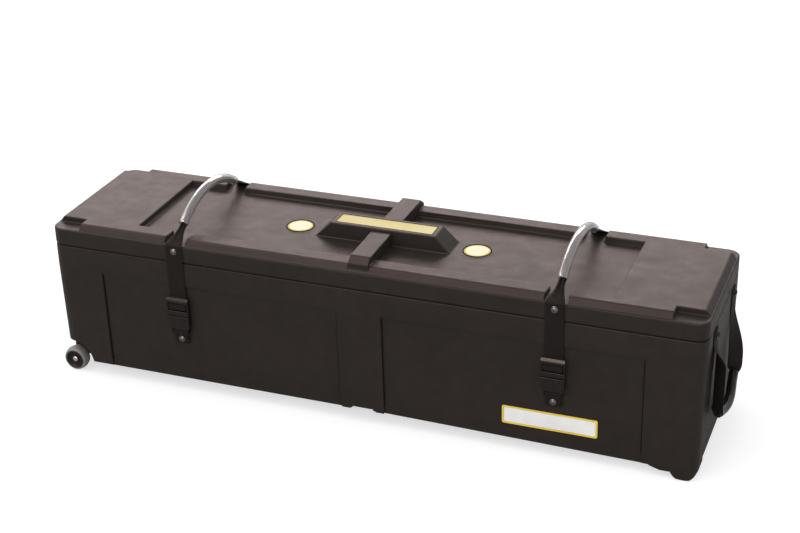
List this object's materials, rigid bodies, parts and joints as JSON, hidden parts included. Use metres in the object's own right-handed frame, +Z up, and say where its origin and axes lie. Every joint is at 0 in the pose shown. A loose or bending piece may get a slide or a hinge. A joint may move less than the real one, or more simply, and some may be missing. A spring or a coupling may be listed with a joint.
{
  "type": "drum hardware case",
  "caption": "Long moulded drum hardware case with a strap-hinged lid, side-release buckles, hose-covered carry handles, corner wheels and a drop handle at one end.",
  "frame": {"origin": "on the floor, under the middle of the whole case with its wheels, straps and drop handle", "axes": "+X along the case to the end with the drop handle, +Y to the back where the lid is hinged, +Z up"},
  "size_m": [1.3804, 0.3403, 0.4073],
  "materials": {
    "moulding": "fine grained black moulding with a soft sheen",
    "webbing": "black woven webbing",
    "buckle_plastic": "semi-gloss black",
    "tyre_grey": "grey rubber",
    "bright_metal": "bright plated",
    "dull_metal": "zinc plated",
    "clear_hose": "clear flexible hose",
    "plate_gold": "pale gold, bare",
    "badge_cream": "pale cream, bare",
    "label_yellow": "yellow border",
    "label_white": "white card, bare"
  },
  "bodies": {
    "case": {"case_shell": "moulding", "hinge_webbing_left": "webbing", "hinge_webbing_right": "webbing", "hinge_rivet_left": "bright_metal", "hinge_rivet_right": "bright_metal", "buckle_socket_left": "buckle_plastic", "buckle_socket_right": "buckle_plastic", "buckle_tab_left": "webbing", "buckle_tab_right": "webbing", "tab_rivet_left": "bright_metal", "tab_rivet_right": "bright_metal", "axle_rod": "dull_metal", "axle_washer_front": "dull_metal", "axle_washer_rear": "dull_metal", "axle_cap_front": "bright_metal", "axle_cap_rear": "bright_metal", "label_frame": "label_yellow", "label_card": "label_white", "drop_tab_front": "webbing", "drop_tab_rear": "webbing", "bolt_washer_front": "dull_metal", "bolt_washer_rear": "dull_metal", "handle_bolt_front": "bright_metal", "handle_bolt_rear": "bright_metal"},
    "lid": {"lid_shell": "moulding", "name_plate": "plate_gold", "badge_disc_left": "badge_cream", "badge_disc_right": "badge_cream", "strap_left": "webbing", "strap_right": "webbing", "carry_hose_left": "clear_hose", "carry_hose_right": "clear_hose", "lid_rivet_front_left": "bright_metal", "lid_rivet_front_right": "bright_metal", "lid_rivet_rear_left": "bright_metal", "lid_rivet_rear_right": "bright_metal", "buckle_frame_left": "buckle_plastic", "buckle_frame_right": "buckle_plastic"},
    "prong_left_a": {"buckle_prong_left_a": "buckle_plastic"},
    "prong_left_b": {"buckle_prong_left_b": "buckle_plastic"},
    "prong_right_a": {"buckle_prong_right_a": "buckle_plastic"},
    "prong_right_b": {"buckle_prong_right_b": "buckle_plastic"},
    "wheel_front": {"wheel_tyre_front": "tyre_grey", "wheel_hub_front": "moulding"},
    "wheel_rear": {"wheel_tyre_rear": "tyre_grey", "wheel_hub_rear": "moulding"},
    "drop_handle": {"drop_handle_webbing": "webbing", "drop_handle_hose": "clear_hose"}
  },
  "joints": [
    {"name": "lid_hinge", "type": "hinge", "parent": "case", "child": "lid", "pos_m": [0, 0.16698, 0.2975], "axis": [-1, 0, 0], "range_deg": [0, 150], "deforming": ["buckle_prong_left_a", "buckle_prong_left_b", "buckle_prong_right_a", "buckle_prong_right_b"]},
    {"name": "prong_left_b_squeeze", "type": "hinge", "parent": "lid", "child": "prong_left_b", "pos_m": [-0.38525, -0.16367, 0.18179], "axis": [0, 0.9986, 0.0528], "range_deg": [0, 10], "stiffness_Nm_per_rad": 0.01},
    {"name": "prong_left_a_squeeze", "type": "hinge", "parent": "lid", "child": "prong_left_a", "pos_m": [-0.41125, -0.16367, 0.18179], "axis": [0, 0.9986, 0.0528], "range_deg": [-10, 0], "stiffness_Nm_per_rad": 0.01},
    {"name": "prong_right_b_squeeze", "type": "hinge", "parent": "lid", "child": "prong_right_b", "pos_m": [0.39275, -0.16367, 0.18179], "axis": [0, 0.9986, 0.0528], "range_deg": [0, 10], "stiffness_Nm_per_rad": 0.01},
    {"name": "prong_right_a_squeeze", "type": "hinge", "parent": "lid", "child": "prong_right_a", "pos_m": [0.36675, -0.16367, 0.18179], "axis": [0, 0.9986, 0.0528], "range_deg": [-10, 0], "stiffness_Nm_per_rad": 0.01},
    {"name": "wheel_front_spin", "type": "hinge", "parent": "case", "child": "wheel_front", "pos_m": [-0.66425, -0.14062, 0.026], "axis": [0, 1, 0], "continuous": true},
    {"name": "wheel_rear_spin", "type": "hinge", "parent": "case", "child": "wheel_rear", "pos_m": [-0.66425, 0.14358, 0.026], "axis": [0, 1, 0], "continuous": true},
    {"name": "drop_handle_swing", "type": "hinge", "parent": "case", "child": "drop_handle", "pos_m": [0.66325, 0.00147, 0.27], "axis": [0, -1, 0], "range_deg": [0, 120]}
  ],
  "couplings": [
    {"joint": "prong_left_a_squeeze", "follows": "prong_left_b_squeeze", "ratio": -1},
    {"joint": "prong_right_a_squeeze", "follows": "prong_right_b_squeeze", "ratio": -1}
  ]
}
